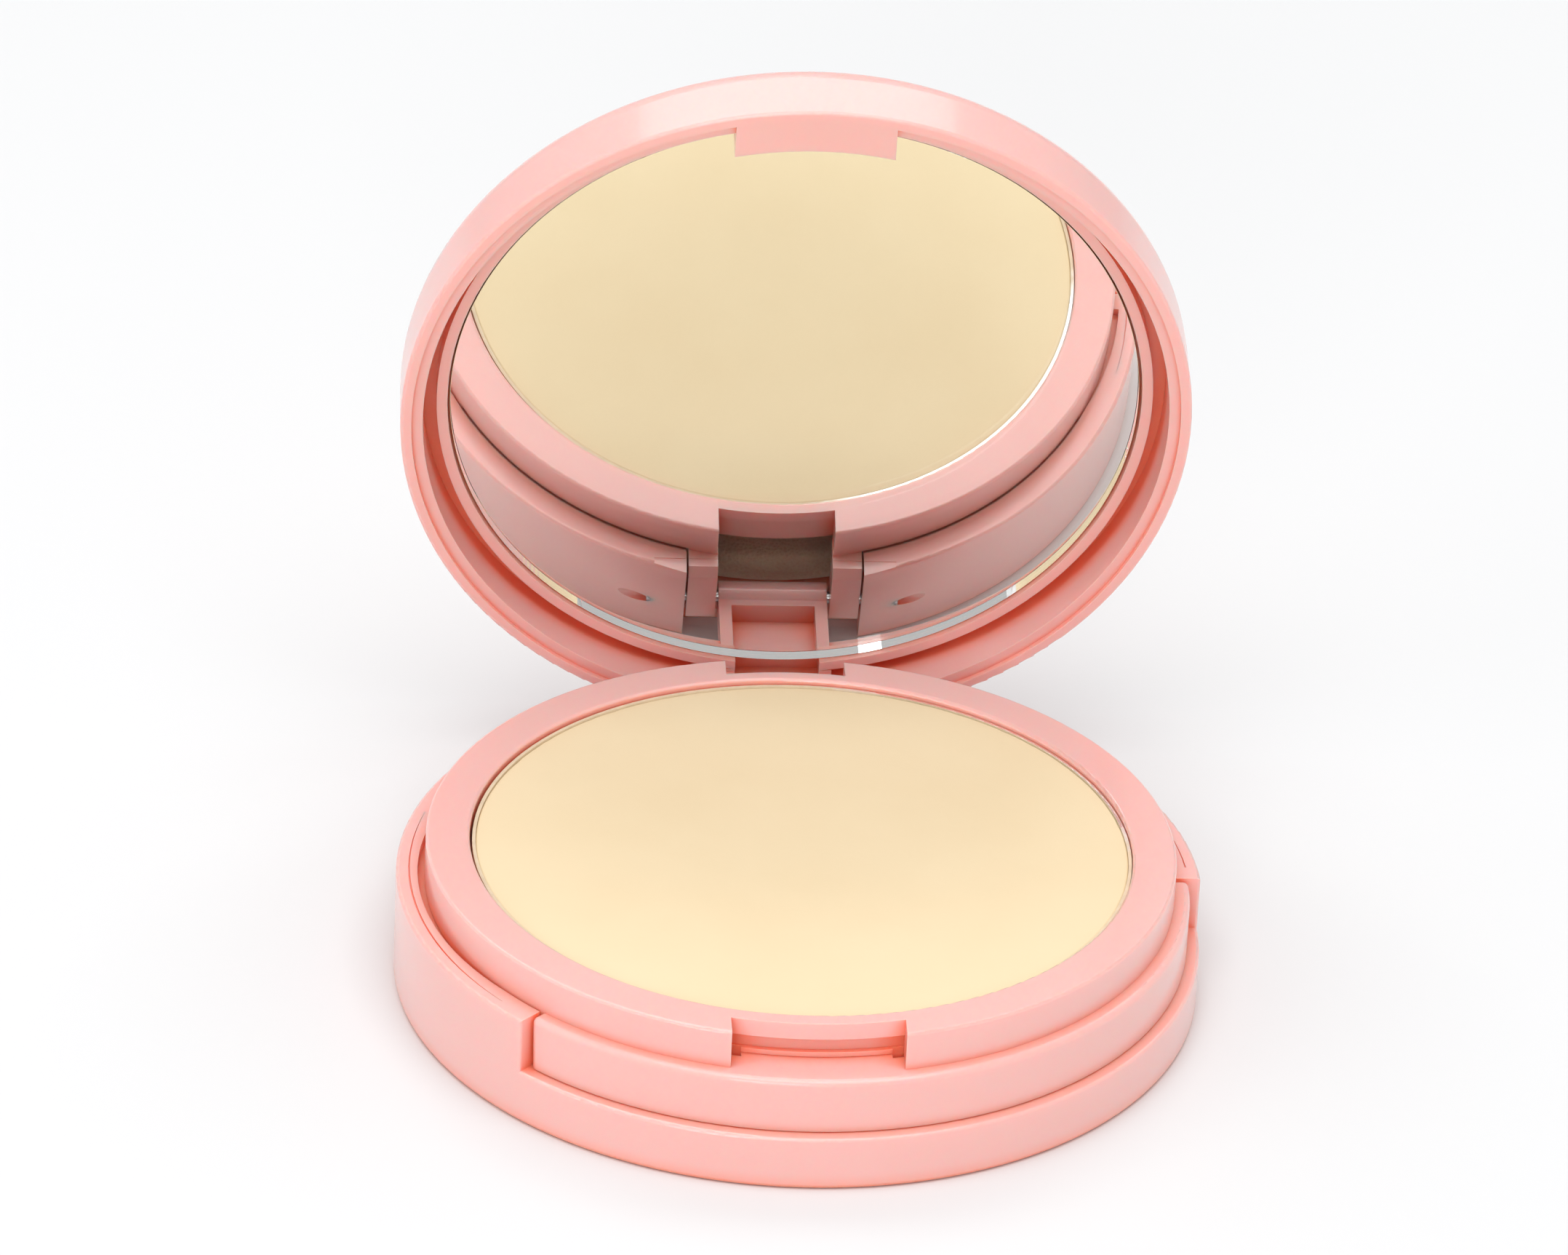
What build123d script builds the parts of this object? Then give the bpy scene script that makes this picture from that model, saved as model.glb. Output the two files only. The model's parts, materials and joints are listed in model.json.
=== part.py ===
from build123d import *
from math import sqrt
import os

# Round two-level powder compact, open at its mirror lid.
# Millimetres, +Z up, front toward -Y, hinge at +Y, origin at the centre of the bottom face.
# The three shells share one hinge axis, which runs along X behind the lower case.
# The lid and what it carries are drawn closed and then swung open about that axis.

# ---- driving dimensions -------------------------------------------------
case_radius = 36.57          # outer radius of the lower case and of the lid
case_wall_inner = 34.3       # inner radius of the lower case wall
rim_z = 10.36                # top face of the lower case
lip_z = 5.19                 # top of the case wall where the front is cut away
floor_top = 1.4
label_recess = 0.25
label_radius = 25.0
bottom_round = 0.6
edge_round = 0.3

front_left = -44.9           # the cut-away front, as azimuths from -Y toward +X
front_right = 90.8
block_left = -50.5           # the solid ends of the rim beside the cut
block_right = 94.0
pocket_reach = 34.65         # crescent pocket between the tray ring and the rim ridge
pocket_offset = 3.3          # its circle's centre, moved out to make a crescent
pocket_azimuth = 84.0        # where each pocket is widest
groove_outer = 35.45         # crescent groove outside the ridge
groove_width = 0.18
groove_offset = 1.45
groove_azimuth = 78.0
groove_depth = 0.2
ledge_top = 9.45             # ledge under the tray ring
ledge_bottom = 8.5
ledge_inner = 32.6

hinge_y = 34.023
hinge_z = 4.5
pin_radius = 0.6
pin_running = 0.05           # radial clearance of the pin in the parts that turn on it
pin_inner_x = 2.6
pin_outer_x = 12.1
knuckle_radius = 1.45
swing_radius = 5.8           # everything beside the hinge stays inside this sweep
case_notch_x = 8.5
ear_inner_x = 5.5
ear_outer_x = 8.3
ear_back = 1.48              # how far the ears reach behind and below the hinge axis
ear_drop = 1.35
ear_chamfer = 1.1
arm_half_x = 5.2

ring_top = 13.995
ring_inner = 30.0
ring_outer = 33.966
ring_foot = 9.6              # bottom edge of the ring at the front and sides
ring_foot_back = 10.46       # and near the hinge, where it has to swing clear
ring_shell = 1.1
foot_half_angle = 118.0
well_outer = 31.0
well_bottom = 10.0
well_floor = 10.9
skirt_outer = 35.4
skirt_inner = 33.7
skirt_bottom = 5.29
left_gaps = (0.08, 0.25)     # gap to the case at the skirt's ends, at its top and bottom
right_gaps = (0.2, 0.62)
skirt_round = 0.6            # along the skirt's top and down its two ends
notch_half_x = 7.65          # latch notch in the ring's front
notch_depth_radius = 31.6
slot_radius = 30.8
slot_top = 12.4
slot_pit_x = 6.65            # small pits where the slot floor meets its two ends
slot_pit_z = 9.85
back_notch_half_x = 5.58
back_web_radius = 31.25

pan_radius = 29.85
pan_shift = 0.08             # the pan sits a little to the right in its well
pan_wall = 0.3
pan_bottom = 11.0
pan_rim = 13.44
powder_top = 13.34
glue_radius = 26.0

lid_rim = 10.48              # lid edge when closed, just clear of the case
lid_top = 18.48
lid_round = 2.8
lid_wall_inner = 34.5
lip_step_radius = 35.55
lip_step_z = 11.0
lid_seat = 16.2              # face that the mirror is stuck to
lid_groove = 16.3            # bottom of the groove between wall and mirror ring
mirror_ring_inner = 32.2
mirror_ring_outer = 33.2
mirror_ring_z = 14.16
tab_half_x = 7.25
tab_outer = 35.65
tab_z = 10.52
arm_inner_y = 33.35
web_inner_y = 35.45
web_bottom = 6.6
rib_inner_x = 4.0
lid_open = 77.909            # lid angle from closed, as drawn

glass_radius = 31.95
glass_shift = 0.18           # the mirror sits toward the hinge in its ring
glass_front = 14.4
glass_back = 15.95
silver_back = 16.01
mirror_glue_radius = 27.0

sponge_radius = 30.4
sponge_bottom = 1.5
sponge_top = 5.4

far = 60.0                   # reach of cutting bodies
MIN = (Align.CENTER, Align.CENTER, Align.MIN)


# ---- small builders -----------------------------------------------------
def disc(radius, low, high):
    return Pos(0, 0, low) * Cylinder(radius, high - low, align=MIN)


def annulus(inner, outer, low, high):
    return disc(outer, low, high) - disc(inner, low - 1, high + 1)


def block(x0, x1, y0, y1, z0, z1):
    middle = Pos((x0 + x1) / 2, (y0 + y1) / 2, (z0 + z1) / 2)
    return middle * Box(x1 - x0, y1 - y0, z1 - z0)


def wedge(start, end, low, high):
    """Pie slice between two azimuths, measured from -Y toward +X."""
    steps = 8
    rays = [start + (end - start) * i / steps for i in range(steps + 1)]
    corners = [Vector(0, 0)] + [Vector(0, -far).rotate(Axis.Z, ray) for ray in rays]
    return Pos(0, 0, low) * extrude(make_face(Polyline(*corners, close=True)), high - low)


def across(radius, half_x, x0=0.0):
    """A bar along X about the hinge axis."""
    bar = Rot(0, 90, 0) * Cylinder(radius, 2 * half_x)
    return Pos(x0, hinge_y, hinge_z) * bar


def span(radius, x0, x1):
    return across(radius, abs(x1 - x0) / 2, (x0 + x1) / 2)


def arcs_at(shape, height, radius, off=0.02):
    """Circular edges of a shape that lie at one height and one radius about Z."""
    found = []
    for edge in shape.edges().filter_by(GeomType.CIRCLE):
        centre = edge.arc_center
        level = abs(centre.Z - height) < off and abs(edge.center().Z - height) < off
        central = sqrt(centre.X ** 2 + centre.Y ** 2) < off
        if level and central and abs(edge.radius - radius) < off:
            found.append(edge)
    return found


def hinge_relief(half_x):
    """Material above the hinge that lies outside the lid's sweep."""
    corner = block(-half_x, half_x, hinge_y, far, hinge_z, rim_z + 1)
    return corner - across(swing_radius, half_x + 1)


# ---- lower case ---------------------------------------------------------
def shifted(radius, azimuth, offset, low, high):
    """A disc whose centre is moved out from the axis toward an azimuth."""
    centre = Vector(0, -offset).rotate(Axis.Z, azimuth)
    return Pos(centre.X, centre.Y, 0) * disc(radius, low, high)


def rim_crescents(side):
    """Pocket beside the tray ring and groove outside the ridge, each fading to a point."""
    top = rim_z + 1
    pocket = shifted(pocket_reach - pocket_offset, side * pocket_azimuth, pocket_offset, ledge_top, top)
    pocket -= disc(ledge_inner, 0, far)
    groove_floor = rim_z - groove_depth
    core = groove_outer - groove_width + groove_offset
    groove = disc(groove_outer, groove_floor, top)
    groove -= shifted(core, side * groove_azimuth, -groove_offset, 0, far)
    here = wedge(*sorted((side * 25, side * 150)), 0, far)
    return (pocket + groove) & here


def rim_ends():
    """The rim stays solid from each end of the front cut to here."""
    return wedge(block_left, block_right, 0, far)


def base_case():
    cup = disc(case_radius, 0, rim_z) - disc(case_wall_inner, floor_top, rim_z + 1)
    cup += annulus(ledge_inner, case_wall_inner + 0.2, ledge_bottom, ledge_top)
    cup += annulus(ring_outer + 0.15, case_wall_inner + 0.2, ledge_bottom, rim_z)
    cup -= wedge(front_left, front_right, lip_z, rim_z + 1) - disc(ledge_inner - 2, 0, far)
    cup = fillet(arcs_at(cup, 0, case_radius), bottom_round)
    corners = []
    for edge in cup.edges().filter_by(GeomType.LINE).filter_by(Axis.Z):
        middle = edge.center()
        on_outside = sqrt(middle.X ** 2 + middle.Y ** 2) > case_radius - 0.1
        if on_outside and middle.Z > lip_z:
            corners.append(edge)
    top_edges = arcs_at(cup, rim_z, case_radius) + arcs_at(cup, lip_z, case_radius)
    cup = fillet(top_edges + corners, edge_round)

    for side in (-1, 1):
        cup -= rim_crescents(side) - rim_ends()

    # hinge: the wall is open between the knuckles and drilled for the pins
    cup -= block(-case_notch_x, case_notch_x, 30, far, floor_top, rim_z + 1)
    cup -= block(-case_notch_x, case_notch_x, hinge_y - 0.8, far, -1, rim_z + 1)
    cup -= hinge_relief(11.6)
    cup -= across(pin_radius, far)
    cup -= disc(label_radius + 0.3, -1, label_recess)
    return cup


# ---- tray that holds the powder ----------------------------------------
def skirt_end(azimuth, side, gaps):
    """Slanted trim beside the case wall. side is +1 past the end, -1 before it."""
    high = Vector(-side * gaps[0], rim_z + 0.5)
    low = Vector(-side * gaps[1], skirt_bottom - 0.5)
    outline = Polyline(high, low, (side * 4, low.Y), (side * 4, high.Y), close=True)
    profile = make_face(Plane.YZ * outline)
    trim = Pos(30, 0, 0) * extrude(profile, 10, dir=(1, 0, 0))
    return Rot(0, 0, azimuth - 90) * trim


def skirt():
    ring = annulus(skirt_inner, skirt_outer, skirt_bottom, rim_z)
    deck = annulus(well_outer - 0.5, skirt_outer, rim_z - 1.15, rim_z)
    ring += deck
    ring = ring & wedge(front_left, front_right, 0, far)
    ring -= skirt_end(front_left, -1, left_gaps)
    ring -= skirt_end(front_right, 1, right_gaps)
    ring = ring.fuse().clean()
    upright = []
    for edge in ring.edges():
        middle = edge.center()
        outside = sqrt(middle.X ** 2 + middle.Y ** 2) > skirt_outer - 0.15
        if outside and skirt_bottom + 1 < middle.Z < rim_z - 1:
            upright.append(edge)
    ring = fillet(upright, skirt_round)
    top = [e for e in ring.edges().group_by(Axis.Z)[-1] if reaches(e, skirt_outer)]
    return fillet(top, skirt_round - 0.02)


def reaches(edge, radius):
    middle = edge @ 0.5
    return sqrt(middle.X ** 2 + middle.Y ** 2) > radius - 0.6


def tray_ring():
    ring = annulus(ring_inner, ring_outer, ring_foot_back, ring_top)
    rounded = arcs_at(ring, ring_top, ring_outer) + arcs_at(ring, ring_top, ring_inner)
    ring = fillet(rounded, 0.28)
    under = annulus(well_outer + 0.1, ring_outer - ring_shell, 0, ring_top - 1.3)
    sides = wedge(-165, -16, 0, far) + wedge(16, 165, 0, far)
    ring -= under & sides
    foot = annulus(ring_outer - ring_shell, ring_outer, ring_foot, ring_foot_back + 0.2)
    ring += foot & wedge(-foot_half_angle, foot_half_angle, 0, far)
    return ring


def powder_tray():
    tray = tray_ring()
    tray += annulus(ring_inner, well_outer + 0.2, well_bottom, ring_top - 0.5)
    tray += disc(well_outer, well_bottom, well_floor)
    tray += skirt()

    # latch notch: the lid's tab drops in front of a thin web with a slot below it
    outside = disc(far, 0, far) - disc(notch_depth_radius, -1, far)
    tray -= block(-notch_half_x, notch_half_x, -far, 0, rim_z, far) & outside
    slot = annulus(slot_radius, notch_depth_radius + 1, rim_z + 0.54, slot_top)
    tray -= slot & block(-notch_half_x, notch_half_x, -far, 0, 0, far)
    step = annulus(slot_radius + 0.5, notch_depth_radius + 0.5, rim_z, slot_top)
    tray -= step & block(-notch_half_x, notch_half_x, -far, 0, 0, far)
    pits = annulus(slot_radius + 0.2, notch_depth_radius + 0.3, slot_pit_z, rim_z + 0.6)
    for side in (-1, 1):
        low, high = sorted((side * slot_pit_x, side * notch_half_x))
        tray -= pits & block(low, high, -far, 0, 0, far)

    # hinge notch and the two ears that turn on the pins
    behind = disc(far, 0, far) - disc(back_web_radius, -1, far)
    tray -= block(-back_notch_half_x, back_notch_half_x, 0, far, 0, far) & behind
    for side in (-1, 1):
        tray += ear(side)
    tray -= across(pin_radius + pin_running, case_notch_x)
    return tray


def ear(side):
    inner = side * ear_inner_x
    outer = side * ear_outer_x
    low, high = sorted((inner, outer))
    back = hinge_y + ear_back
    plate = block(low, high, hinge_y - knuckle_radius, back, hinge_z, rim_z)
    plate += block(low, high, hinge_y, back, hinge_z - ear_drop, hinge_z + 0.1)
    top_back = plate.edges().filter_by(Axis.X).group_by(Axis.Z)[-1].sort_by(Axis.Y)[-1]
    plate = chamfer(top_back, ear_chamfer, 0.65 * ear_chamfer)
    plate += span(knuckle_radius, low, high)
    plate += block(low, high, 31.6, hinge_y, rim_z - 0.6, rim_z + 0.4) & disc(ring_outer, 0, far)
    plate = plate & disc(case_radius - 0.05, 0, far)
    return plate - hinge_relief(case_notch_x + 1)


def powder_pan():
    pan = disc(pan_radius, pan_bottom, pan_rim)
    pan = fillet(arcs_at(pan, pan_bottom, pan_radius), 0.5)
    pan -= disc(pan_radius - pan_wall, pan_bottom + pan_wall, pan_rim + 1)
    return Pos(pan_shift, 0, 0) * pan


def pressed_powder():
    radius = pan_radius - pan_wall
    cake = disc(radius, pan_bottom + pan_wall, powder_top)
    return Pos(pan_shift, 0, 0) * fillet(arcs_at(cake, powder_top, radius), 0.12)


# ---- lid, drawn closed --------------------------------------------------
def lid_shell():
    shell = disc(case_radius, lid_rim, lid_top)
    shell = fillet(arcs_at(shell, lid_top, case_radius), lid_round)
    shell = fillet(arcs_at(shell, lid_rim, case_radius), 0.3)
    shell -= disc(mirror_ring_outer - 0.5, 0, lid_seat)
    shell -= annulus(mirror_ring_outer - 1, lid_wall_inner, 0, lid_groove)
    shell -= disc(lip_step_radius, 0, lip_step_z)
    shell += annulus(mirror_ring_inner, mirror_ring_outer, mirror_ring_z, lid_seat + 0.2)

    tab = annulus(mirror_ring_inner, tab_outer, tab_z, lid_groove + 0.5)
    shell += tab & block(-tab_half_x, tab_half_x, -far, 0, 0, far)
    shell += hinge_arm()
    shell -= hinge_recess()
    shell -= across(pin_radius + pin_running, arm_half_x + 1)
    return shell


def hinge_arm():
    half = arm_half_x
    arm = block(-half, half, arm_inner_y, case_radius, hinge_z, lip_step_z + 0.5)
    arm += block(-half, half, arm_inner_y - 0.4, 35, mirror_ring_z, lid_groove + 0.5)
    arm += block(-half, half, arm_inner_y, 35, lip_step_z, mirror_ring_z + 0.5)
    arm += across(knuckle_radius, half)
    return arm & disc(case_radius, 0, far)


def hinge_recess():
    half = rib_inner_x
    web = block(-half, half, arm_inner_y - 1, web_inner_y, web_bottom, lid_rim + 3.2)
    upper = block(-half, half, mirror_ring_inner - 1, lid_wall_inner, lid_rim, lid_groove)
    return (web + upper) - across(knuckle_radius, far)


# ---- write every piece --------------------------------------------------
def opened(shape):
    """Swing a closed-lid shape open about the hinge axis."""
    turn = Pos(0, hinge_y, hinge_z) * Rot(-lid_open, 0, 0) * Pos(0, -hinge_y, -hinge_z)
    return turn * shape


def hinge_pin(side):
    return span(pin_radius, side * pin_inner_x, side * pin_outer_x)


def mirror_layer(radius, low, high):
    return opened(Pos(0, glass_shift, 0) * disc(radius, low, high))


def sponge():
    pad = disc(sponge_radius, sponge_bottom, sponge_top)
    return fillet(arcs_at(pad, sponge_top, sponge_radius), 0.8)


pieces = {
    "base_case": base_case(),
    "bottom_label": disc(label_radius, 0.05, label_recess),
    "hinge_pin_left": hinge_pin(-1),
    "hinge_pin_right": hinge_pin(1),
    "puff_sponge": sponge(),
    "powder_tray": powder_tray(),
    "pan_adhesive": disc(glue_radius, well_floor, pan_bottom),
    "powder_pan": powder_pan(),
    "pressed_powder": pressed_powder(),
    "lid_shell": opened(lid_shell()),
    "mirror_adhesive": mirror_layer(mirror_glue_radius, silver_back, lid_seat),
    "mirror_silvering": mirror_layer(glass_radius - 0.05, glass_back, silver_back),
    "mirror_glass": mirror_layer(glass_radius, glass_front, glass_back),
}

os.makedirs("parts", exist_ok=True)
for name, shape in pieces.items():
    shape.label = name
    export_step(shape, f"parts/{name}.step")
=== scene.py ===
import json
import math

import bmesh
import bpy
from mathutils import Matrix, Vector, noise


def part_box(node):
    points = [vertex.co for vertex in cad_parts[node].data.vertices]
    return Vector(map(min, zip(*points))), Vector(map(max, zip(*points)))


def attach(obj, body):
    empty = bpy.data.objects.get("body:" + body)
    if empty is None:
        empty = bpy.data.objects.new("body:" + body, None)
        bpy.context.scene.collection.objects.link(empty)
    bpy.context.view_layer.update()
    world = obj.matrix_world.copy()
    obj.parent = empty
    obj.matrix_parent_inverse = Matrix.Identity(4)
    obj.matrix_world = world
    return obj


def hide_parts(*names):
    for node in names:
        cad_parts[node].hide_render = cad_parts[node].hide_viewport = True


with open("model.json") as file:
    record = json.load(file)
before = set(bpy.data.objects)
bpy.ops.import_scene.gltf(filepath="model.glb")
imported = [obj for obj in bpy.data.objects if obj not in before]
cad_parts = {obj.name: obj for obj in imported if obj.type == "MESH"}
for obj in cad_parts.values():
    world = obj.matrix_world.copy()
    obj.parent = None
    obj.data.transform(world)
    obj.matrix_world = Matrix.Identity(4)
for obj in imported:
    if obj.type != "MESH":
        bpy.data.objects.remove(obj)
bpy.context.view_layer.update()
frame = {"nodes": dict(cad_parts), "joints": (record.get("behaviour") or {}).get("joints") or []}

MM = 0.001
MICRON = 0.000001


# ---- frame facts --------------------------------------------------------
def joint(name):
    return next(j for j in frame["joints"] if j["name"] == name)


HINGE = Vector(joint("lid_hinge")["pos_m"])
LID_OPEN = math.radians(-joint("lid_hinge")["range_deg"][0])
LID_TURN = (
    Matrix.Translation(HINGE)
    @ Matrix.Rotation(-LID_OPEN, 4, "X")
    @ Matrix.Translation(-HINGE)
)


def radius_of(node):
    low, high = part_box(node)
    return (high.x - low.x) / 2


# ---- camera -------------------------------------------------------------
IMAGE_WIDTH = 2156
FOCAL_PIXELS = 11874.8
CAMERA_AZIMUTH = math.radians(-4.035)
CAMERA_ELEVATION = math.radians(28.781)
CAMERA_ROLL = math.radians(2.858)
CAMERA_DISTANCE = 770.045 * MM
CAMERA_TARGET = Vector((-2.554, 0.18, 35.892)) * MM


def make_camera():
    back = Vector((
        math.sin(CAMERA_AZIMUTH) * math.cos(CAMERA_ELEVATION),
        -math.cos(CAMERA_AZIMUTH) * math.cos(CAMERA_ELEVATION),
        math.sin(CAMERA_ELEVATION),
    ))
    level = Vector((math.cos(CAMERA_AZIMUTH), math.sin(CAMERA_AZIMUTH), 0))
    upright = back.cross(level)
    right = level * math.cos(CAMERA_ROLL) + upright * math.sin(CAMERA_ROLL)
    up = back.cross(right)
    data = bpy.data.cameras.new("camera")
    data.sensor_width = 36
    data.lens = FOCAL_PIXELS / IMAGE_WIDTH * data.sensor_width
    data.clip_start = 0.05
    data.clip_end = 20
    camera = bpy.data.objects.new("camera", data)
    bpy.context.scene.collection.objects.link(camera)
    axes = Matrix((right, up, back)).transposed().to_4x4()
    camera.matrix_world = Matrix.Translation(CAMERA_TARGET + back * CAMERA_DISTANCE) @ axes
    bpy.context.scene.camera = camera


# ---- mesh helpers -------------------------------------------------------
def new_object(name, mesh):
    obj = bpy.data.objects.new(name, mesh)
    bpy.context.scene.collection.objects.link(obj)
    return obj


def lathe(name, profile, segments):
    """Closed solid turned about Z from (radius, height) points, starting and ending on the axis."""
    made = bmesh.new()
    rings = []
    for radius, height in profile:
        if radius < 1e-9:
            rings.append([made.verts.new((0, 0, height))])
            continue
        turns = [2 * math.pi * i / segments for i in range(segments)]
        rings.append([made.verts.new((radius * math.cos(t), radius * math.sin(t), height)) for t in turns])
    for low, high in zip(rings, rings[1:]):
        for i in range(segments):
            j = (i + 1) % segments
            corners = [low[i % len(low)], low[j % len(low)], high[j % len(high)], high[i % len(high)]]
            unique = list(dict.fromkeys(corners))
            made.faces.new(unique)
    bmesh.ops.recalc_face_normals(made, faces=made.faces)
    mesh = bpy.data.meshes.new(name)
    made.to_mesh(mesh)
    made.free()
    for face in mesh.polygons:
        face.use_smooth = True
    return new_object(name, mesh)


# ---- material helpers ---------------------------------------------------
class Surface:
    """A node material with one Principled shader."""

    def __init__(self, name):
        self.material = bpy.data.materials.new(name)
        self.material.use_nodes = True
        self.nodes = self.material.node_tree.nodes
        self.links = self.material.node_tree.links
        self.shader = self.nodes["Principled BSDF"]
        self.place = self.nodes.new("ShaderNodeTexCoord").outputs["Object"]

    def set(self, **values):
        for socket, value in values.items():
            self.shader.inputs[socket.replace("_", " ")].default_value = value

    def noise(self, scale, detail=3.0, roughness=0.5, stretch=None):
        made = self.nodes.new("ShaderNodeTexNoise")
        made.inputs["Scale"].default_value = scale
        made.inputs["Detail"].default_value = detail
        made.inputs["Roughness"].default_value = roughness
        source = self.place
        if stretch:
            mapping = self.nodes.new("ShaderNodeMapping")
            mapping.inputs["Scale"].default_value = stretch
            self.links.new(source, mapping.inputs["Vector"])
            source = mapping.outputs["Vector"]
        self.links.new(source, made.inputs["Vector"])
        return made.outputs["Fac"]

    def ramp(self, source, stops):
        """Colour that runs between two stops."""
        made = self.nodes.new("ShaderNodeValToRGB")
        for element, (position, colour) in zip(made.color_ramp.elements, stops):
            element.position = position
            element.color = (*colour, 1)
        self.links.new(source, made.inputs["Fac"])
        return made.outputs["Color"]

    def side_mask(self, direction, start, end, raggedness):
        """0 to 1 across the object along a direction, with a ragged border."""
        reach = self.nodes.new("ShaderNodeVectorMath")
        reach.operation = "DOT_PRODUCT"
        reach.inputs[1].default_value = direction
        self.links.new(self.place, reach.inputs[0])
        ragged = self.nodes.new("ShaderNodeMath")
        ragged.operation = "MULTIPLY_ADD"
        ragged.inputs[1].default_value = raggedness
        self.links.new(self.noise(900, 3.0), ragged.inputs[0])
        self.links.new(reach.outputs["Value"], ragged.inputs[2])
        mask = self.nodes.new("ShaderNodeMapRange")
        mask.inputs["From Min"].default_value = start
        mask.inputs["From Max"].default_value = end
        self.links.new(ragged.outputs["Value"], mask.inputs["Value"])
        return mask.outputs["Result"]

    def crevice(self, reach, closed, clear):
        """0 where other surfaces crowd in within reach, 1 in the open."""
        made = self.nodes.new("ShaderNodeAmbientOcclusion")
        made.inputs["Distance"].default_value = reach
        scaled = self.nodes.new("ShaderNodeMapRange")
        scaled.inputs["From Min"].default_value = closed
        scaled.inputs["From Max"].default_value = clear
        self.links.new(made.outputs["AO"], scaled.inputs["Value"])
        return scaled.outputs["Result"]

    def blend(self, factor, low, high):
        """The low colour where factor is 0 and the high colour where it is 1."""
        made = self.nodes.new("ShaderNodeMix")
        made.data_type = "RGBA"
        self.links.new(factor, made.inputs[0])
        self.links.new(low, made.inputs[6])
        self.links.new(high, made.inputs[7])
        return made.outputs[2]

    def spread(self, source, low, high, socket):
        """Drives a socket from low to high over the middle part of a noise."""
        self.remap(source, low, high, socket, 0.3, 0.7)

    def remap(self, source, low, high, socket, start=0.0, end=1.0):
        made = self.nodes.new("ShaderNodeMapRange")
        made.inputs["From Min"].default_value = start
        made.inputs["From Max"].default_value = end
        made.inputs["To Min"].default_value = low
        made.inputs["To Max"].default_value = high
        self.links.new(source, made.inputs["Value"])
        self.links.new(made.outputs["Result"], self.shader.inputs[socket])

    def colour(self, output):
        self.links.new(output, self.shader.inputs["Base Color"])

    def bump(self, source, height):
        made = self.nodes.new("ShaderNodeBump")
        made.inputs["Distance"].default_value = height
        made.inputs["Strength"].default_value = 1
        self.links.new(source, made.inputs["Height"])
        existing = self.shader.inputs["Normal"]
        if existing.is_linked:
            self.links.new(existing.links[0].from_socket, made.inputs["Normal"])
        self.links.new(made.outputs["Normal"], existing)


# ---- materials ----------------------------------------------------------
def case_plastic():
    s = Surface("case_plastic")
    flow = s.ramp(s.noise(30, 2.0), [(0.35, (0.89, 0.5, 0.462)), (0.65, (0.90, 0.515, 0.477))])
    # A deeper orange-red is painted into creases and gaps where the occlusion mask below closes in:
    # painted shade, standing in for light glowing through the translucent plastic.
    painted_crease_red = s.ramp(s.noise(45, 2.0), [(0.35, (0.97, 0.27, 0.16)), (0.65, (0.98, 0.29, 0.175))])
    s.colour(s.blend(s.crevice(3.0 * MM, 0.3, 0.8), painted_crease_red, flow))
    s.spread(s.noise(500, 2.0), 0.29, 0.33, "Roughness")
    s.set(IOR=1.49, Subsurface_Weight=1.0, Subsurface_Scale=0.8 * MM)
    s.set(Subsurface_Radius=(1.0, 0.35, 0.25))
    s.set(Coat_Weight=0.6, Coat_Roughness=0.12)
    s.bump(s.noise(3200, 2.0), 0.8 * MICRON)
    return s.material


def powder():
    s = Surface("powder")
    cloud = s.noise(70, 3.0)
    s.colour(s.ramp(cloud, [(0.3, (0.845, 0.68, 0.44)), (0.7, (0.865, 0.705, 0.465))]))
    s.spread(s.noise(5000, 2.0), 0.85, 0.95, "Roughness")
    s.set(Specular_IOR_Level=0.12)
    s.bump(s.noise(3800, 3.0, 0.65), 10 * MICRON)
    s.bump(s.noise(700, 2.0), 12 * MICRON)
    return s.material


def pan_metal():
    s = Surface("pan_metal")
    streaks = s.noise(120, 3.0, 0.6, (1, 1, 14))
    bare = s.ramp(streaks, [(0.3, (0.80, 0.79, 0.77)), (0.7, (0.90, 0.89, 0.88))])
    # Away from the back right the rim is painted a matt powder beige and is not metal: a painted
    # reflection of the powder. Only the back-right side is metal and reflects for real.
    painted_powder_reflection = s.ramp(s.noise(700, 3.0), [(0.3, (0.70, 0.57, 0.40)), (0.7, (0.80, 0.66, 0.47))])
    back_right = (0.75, 0.65, 0)
    metal_side = s.side_mask(back_right, 24 * MM, 27 * MM, 4 * MM)
    s.colour(s.blend(metal_side, painted_powder_reflection, bare))
    s.links.new(metal_side, s.shader.inputs["Metallic"])
    s.remap(metal_side, 0.7, 0.25, "Roughness")
    s.bump(streaks, 8 * MICRON)
    return s.material


def pin_steel():
    s = Surface("pin_steel")
    streaks = s.noise(400, 3.0, 0.6, (0.08, 1, 1))
    s.colour(s.ramp(streaks, [(0.3, (0.50, 0.50, 0.51)), (0.7, (0.62, 0.62, 0.63))]))
    s.spread(streaks, 0.2, 0.36, "Roughness")
    s.set(Metallic=1.0)
    return s.material


def silvering():
    s = Surface("silvering")
    haze = s.noise(30, 2.0)
    s.colour(s.ramp(haze, [(0.3, (0.93, 0.935, 0.925)), (0.7, (0.95, 0.953, 0.945))]))
    s.set(Metallic=1.0, Roughness=0.0)
    return s.material


def mirror_glass():
    s = Surface("mirror_glass")
    tint = s.noise(20, 2.0)
    s.colour(s.ramp(tint, [(0.3, (0.985, 0.995, 0.988)), (0.7, (0.99, 0.998, 0.993))]))
    s.set(Transmission_Weight=1.0, Roughness=0.0, IOR=1.52)
    return s.material


def adhesive():
    s = Surface("adhesive")
    s.colour(s.ramp(s.noise(300, 3.0), [(0.3, (0.80, 0.80, 0.77)), (0.7, (0.88, 0.88, 0.86))]))
    s.spread(s.noise(900, 2.0), 0.45, 0.6, "Roughness")
    s.bump(s.noise(700, 3.0), 20 * MICRON)
    return s.material


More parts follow.
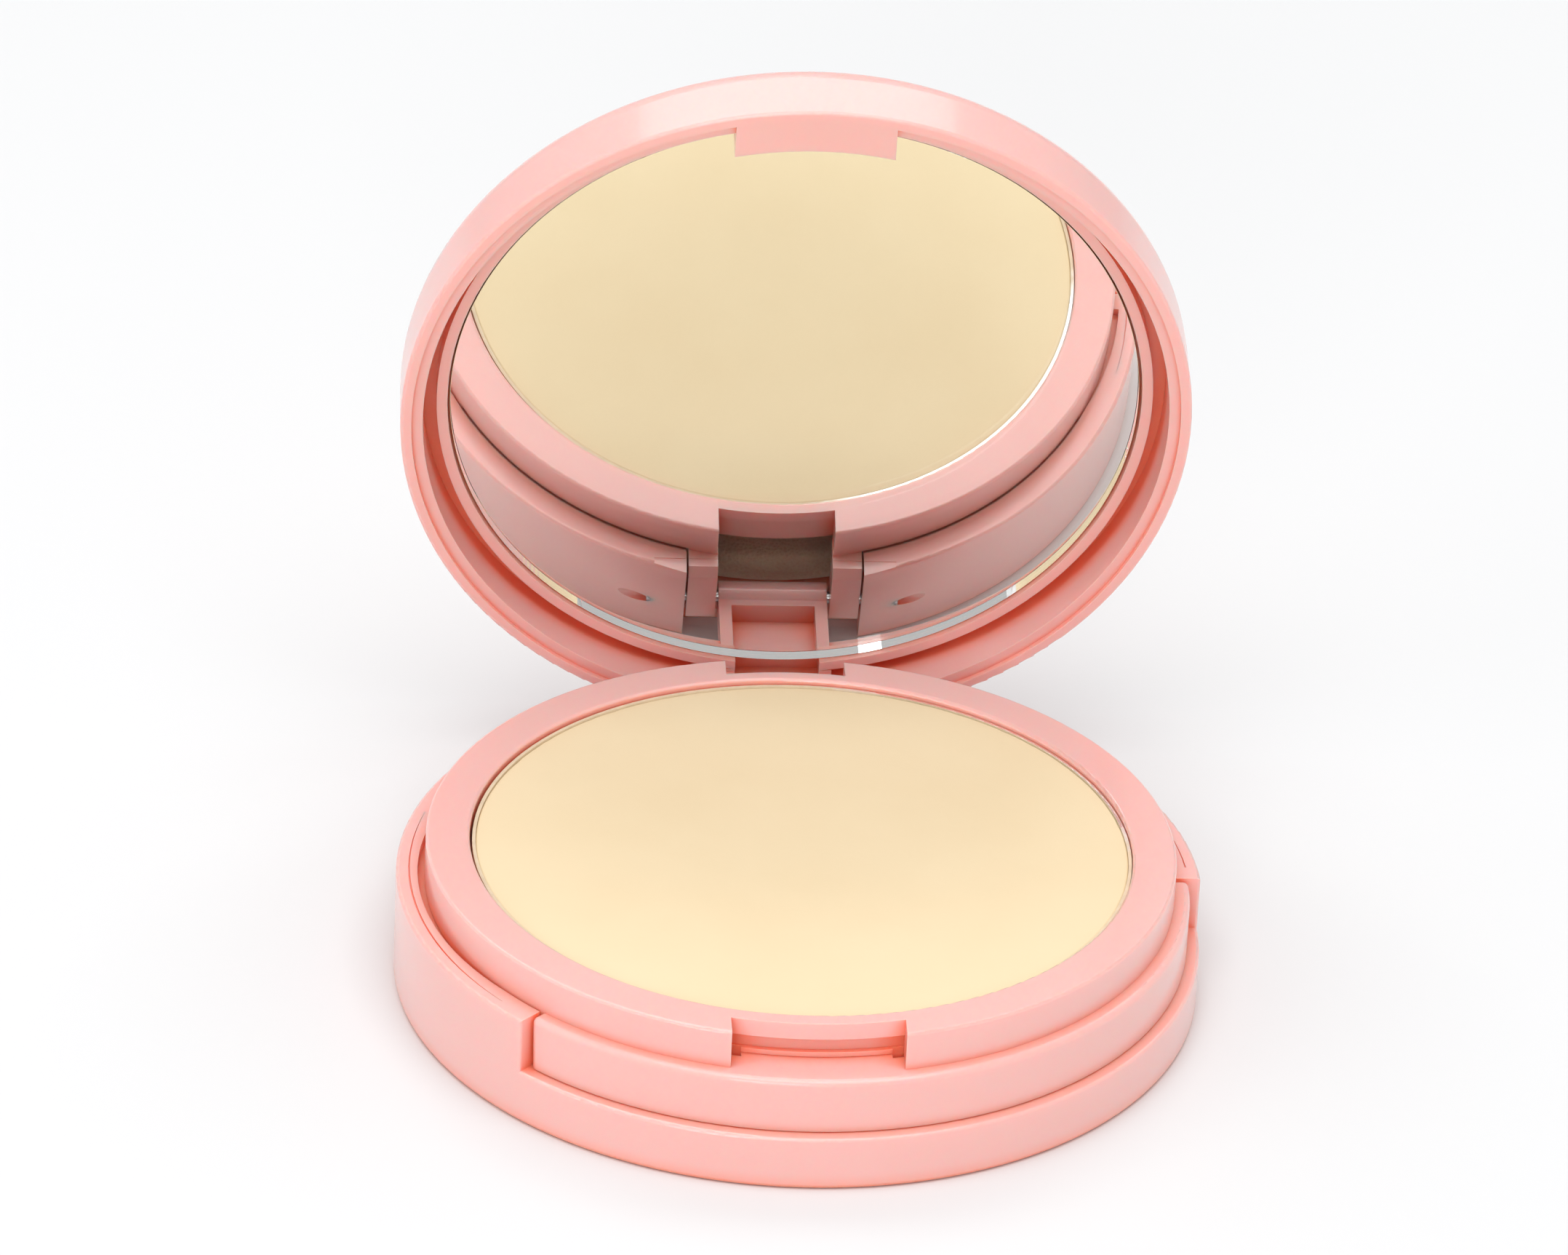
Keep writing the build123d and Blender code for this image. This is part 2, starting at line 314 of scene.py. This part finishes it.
def label_paper():
    s = Surface("label_paper")
    fibres = s.noise(1500, 4.0, 0.6, (1, 0.35, 1))
    s.colour(s.ramp(fibres, [(0.3, (0.84, 0.82, 0.79)), (0.7, (0.91, 0.90, 0.88))]))
    s.spread(fibres, 0.6, 0.8, "Roughness")
    s.bump(fibres, 10 * MICRON)
    return s.material


def sponge_foam():
    s = Surface("sponge_foam")
    cells = s.nodes.new("ShaderNodeTexVoronoi")
    cells.inputs["Scale"].default_value = 3200
    s.links.new(s.place, cells.inputs["Vector"])
    pores = cells.outputs["Distance"]
    # The pore pits are painted darker than the foam around them: painted shade in the pores.
    s.colour(s.ramp(pores, [(0.05, (0.90, 0.64, 0.44)), (0.5, (0.97, 0.76, 0.56))]))
    s.spread(s.noise(800, 3.0), 0.85, 1.0, "Roughness")
    s.set(Subsurface_Weight=0.2, Subsurface_Scale=1 * MM, Sheen_Weight=0.2)
    s.bump(pores, 100 * MICRON)
    return s.material


def floor_card():
    s = Surface("floor_card")
    s.colour(s.ramp(s.noise(4, 2.0), [(0.3, (0.755, 0.76, 0.765)), (0.7, (0.765, 0.77, 0.775))]))
    s.spread(s.noise(60, 2.0), 0.85, 0.95, "Roughness")
    s.set(Specular_IOR_Level=0.1)
    return s.material


def paint(obj, material):
    obj.data.materials.clear()
    obj.data.materials.append(material)


def shade_flat(obj):
    for face in obj.data.polygons:
        face.use_smooth = False


# ---- studio -------------------------------------------------------------
def make_floor():
    half = 1.5
    made = bmesh.new()
    bmesh.ops.create_grid(made, x_segments=8, y_segments=8, size=half)
    mesh = bpy.data.meshes.new("floor")
    made.to_mesh(mesh)
    made.free()
    floor = new_object("floor", mesh)
    paint(floor, floor_card())


def softbox(name, place, aim, width, height, power):
    data = bpy.data.lights.new(name, "AREA")
    data.shape = "RECTANGLE"
    data.size = width
    data.size_y = height
    data.energy = power
    lamp = bpy.data.objects.new(name, data)
    bpy.context.scene.collection.objects.link(lamp)
    direction = Vector(place) - Vector(aim)
    lamp.matrix_world = Matrix.Translation(place) @ direction.to_track_quat("Z", "Y").to_matrix().to_4x4()


def make_lights():
    world = bpy.data.worlds.new("studio")
    bpy.context.scene.world = world
    world.use_nodes = True
    sky = world.node_tree.nodes["Background"]
    sky.inputs["Color"].default_value = (1, 1, 1, 1)
    sky.inputs["Strength"].default_value = 0.54
    softbox("overhead", (0.0, -0.3, 1.05), (0, 0, 0), 1.0, 0.9, 7.2)
    softbox("left_window", (-0.85, -0.35, 0.6), (0, 0, 0.03), 0.6, 0.8, 1.2)
    softbox("front_window", (-0.2, -1.2, 0.44), (0, 0, 0.03), 0.5, 0.35, 3.4)
    softbox("back_window", (0.0, 0.75, 0.95), (0, 0, 0.05), 1.2, 0.5, 4.2)
    bpy.context.scene.view_settings.view_transform = "Standard"


# ---- pieces that stand for CAD nodes ------------------------------------
def make_powder(material):
    """The pressed cake: a rounded edge, a faintly uneven top and small chips along its rim."""
    low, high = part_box("pressed_powder")
    radius = radius_of("pressed_powder")
    edge = 0.25 * MM
    rim_width = 0.8 * MM
    swell_height = 0.02 * MM
    swell_scale = 60
    chip_depth = 0.1 * MM
    chip_scale = 1100
    chip_start = 0.15
    top = high.z
    profile = [(0, low.z), (radius * 0.5, low.z), (radius, low.z), (radius, top - edge)]
    profile += [(radius - edge * (1 - math.cos(a)), top - edge + edge * math.sin(a))
                for a in (math.radians(x) for x in (15, 35, 55, 75, 90))]
    rings = 70
    ring_spacing = 0.8
    inner = radius - edge
    profile += [(inner * (1 - (i / rings) ** ring_spacing), top) for i in range(1, rings)]
    profile.append((0, top))
    cake = lathe("powder_cake", profile, 360)
    cake.data.transform(Matrix.Translation(((low.x + high.x) / 2, 0, 0)))
    for vertex in cake.data.vertices:
        place = vertex.co
        if place.z < top - edge * 1.01:
            continue
        swell = noise.noise(place * swell_scale) * swell_height
        rim = max(0.0, 1 - (radius - Vector((place.x, place.y)).length) / rim_width)
        chip = max(0.0, noise.noise(place * chip_scale) - chip_start) * chip_depth * rim
        vertex.co.z += swell - chip
    paint(cake, material)
    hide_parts("pressed_powder")
    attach(cake, "tray")


def make_sponge(material):
    """The flat round puff with its soft bulging side."""
    low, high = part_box("puff_sponge")
    radius = radius_of("puff_sponge")
    middle = (low.z + high.z) / 2
    half = (high.z - low.z) / 2
    bulge = half * 0.6
    squareness = 0.7
    sag = 0.05 * MM
    steps = 14
    profile = [(0, low.z), (radius * 0.5, low.z)]
    for i in range(steps + 1):
        turn = math.radians(-90 + 180 * i / steps)
        out = radius - bulge + bulge * abs(math.cos(turn)) ** squareness
        profile.append((min(out, radius), middle + half * math.sin(turn)))
    profile += [(radius * 0.7, high.z - sag), (radius * 0.35, high.z), (0, high.z)]
    pad = lathe("foam_puff", profile, 200)
    paint(pad, material)
    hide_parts("puff_sponge")
    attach(pad, "case")


def closed_box(node):
    """Low and high corners of a lid piece with the lid swung back to closed."""
    obj = frame["nodes"][node]
    turn = LID_TURN.inverted() @ obj.matrix_world
    places = [turn @ vertex.co for vertex in obj.data.vertices]
    return [Vector(edge(p[axis] for p in places) for axis in range(3)) for edge in (min, max)]


def make_mirror(glass_material, silver_material):
    """The glass plate with its cut edge and silvered back, drawn closed and swung open with the lid."""
    low, high = closed_box("mirror_glass")
    radius = (high.x - low.x) / 2
    # the drawn plate is a little thinner than the CAD plate
    front_inset = 0.3 * MM
    back_inset = 0.2 * MM
    arris = 0.03 * MM
    silver_gap = 2 * MICRON
    silver_reach = 0.05 * MM
    front, back = low.z + front_inset, high.z - back_inset
    profile = [(0, front), (radius - arris, front), (radius, front + arris), (radius, back), (0, back)]
    plate = lathe("mirror_plate", profile, 360)
    shade_flat(plate)
    silver_front, silver_back = back + silver_gap, high.z + silver_reach
    profile = [(0, silver_front), (radius, silver_front), (radius, silver_back), (0, silver_back)]
    backing = lathe("mirror_backing", profile, 360)
    shade_flat(backing)
    centre = (low + high) / 2
    place = LID_TURN @ Matrix.Translation((centre.x, centre.y, 0))
    for obj, node, material in ((plate, "mirror_glass", glass_material),
                                (backing, "mirror_silvering", silver_material)):
        obj.data.transform(place)
        paint(obj, material)
        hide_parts(node)
        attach(obj, "lid")


# ---- build --------------------------------------------------------------
make_camera()
make_floor()
make_lights()

plastic = case_plastic()
for node in ("base_case", "powder_tray", "lid_shell"):
    paint(frame["nodes"][node], plastic)
steel = pin_steel()
for node in ("hinge_pin_left", "hinge_pin_right"):
    paint(frame["nodes"][node], steel)
glue = adhesive()
for node in ("pan_adhesive", "mirror_adhesive"):
    paint(frame["nodes"][node], glue)
paint(frame["nodes"]["powder_pan"], pan_metal())
paint(frame["nodes"]["bottom_label"], label_paper())
make_powder(powder())
make_sponge(sponge_foam())
make_mirror(mirror_glass(), silvering())
